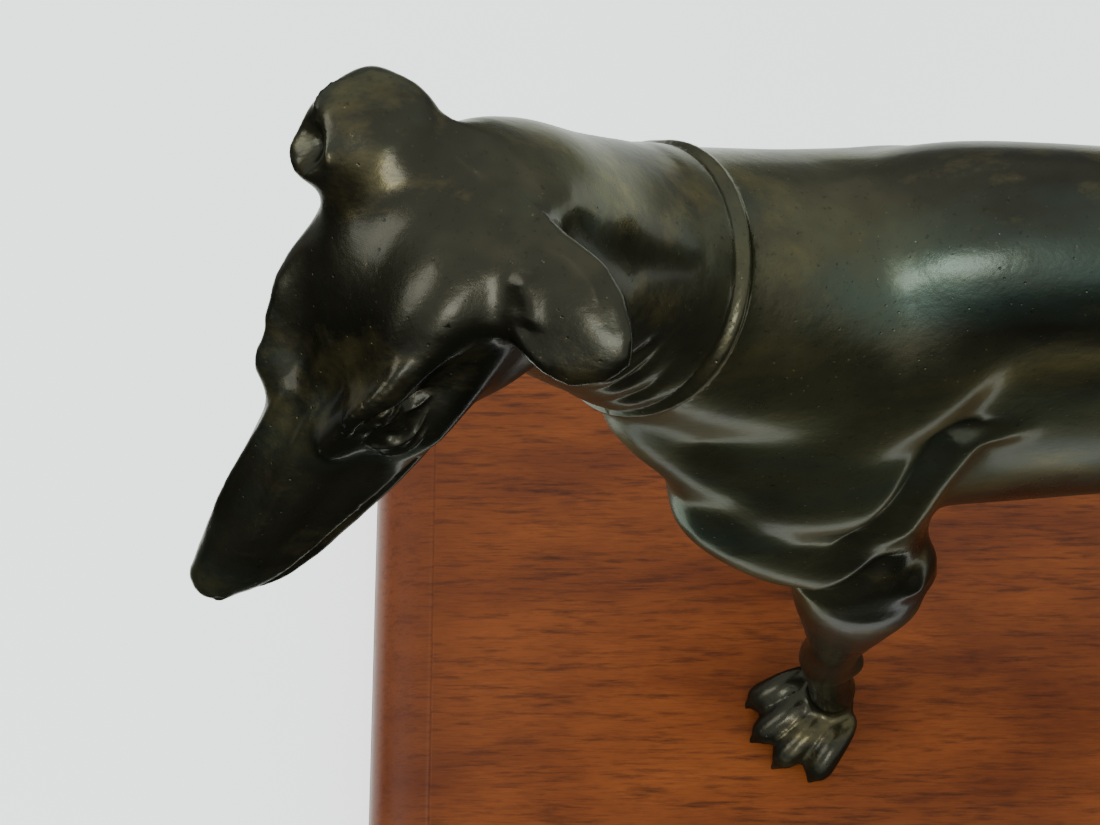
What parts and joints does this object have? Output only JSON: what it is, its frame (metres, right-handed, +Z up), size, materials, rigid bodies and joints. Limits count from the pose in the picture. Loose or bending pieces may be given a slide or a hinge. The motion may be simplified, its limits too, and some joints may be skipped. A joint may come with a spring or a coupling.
{
  "type": "greyhound statue",
  "caption": "Bronze greyhound standing with its head turned to its left and lowered, wearing a broad collar, on a moulded wooden plinth.",
  "frame": {"origin": "middle of the plinth's underside", "axes": "+Z up; the figure's trunk lies along X with its head towards -X and its tail towards +X; the dog's left, which its head turns to, is -Y"},
  "size_m": [0.4084, 0.156, 0.3266],
  "materials": {
    "patinated_bronze": "dark olive-brown patina, waxed to a soft gloss",
    "mahogany": "red-brown stain under satin varnish"
  },
  "bodies": {
    "root": {"greyhound": "patinated_bronze", "plinth": "mahogany"}
  },
  "joints": []
}
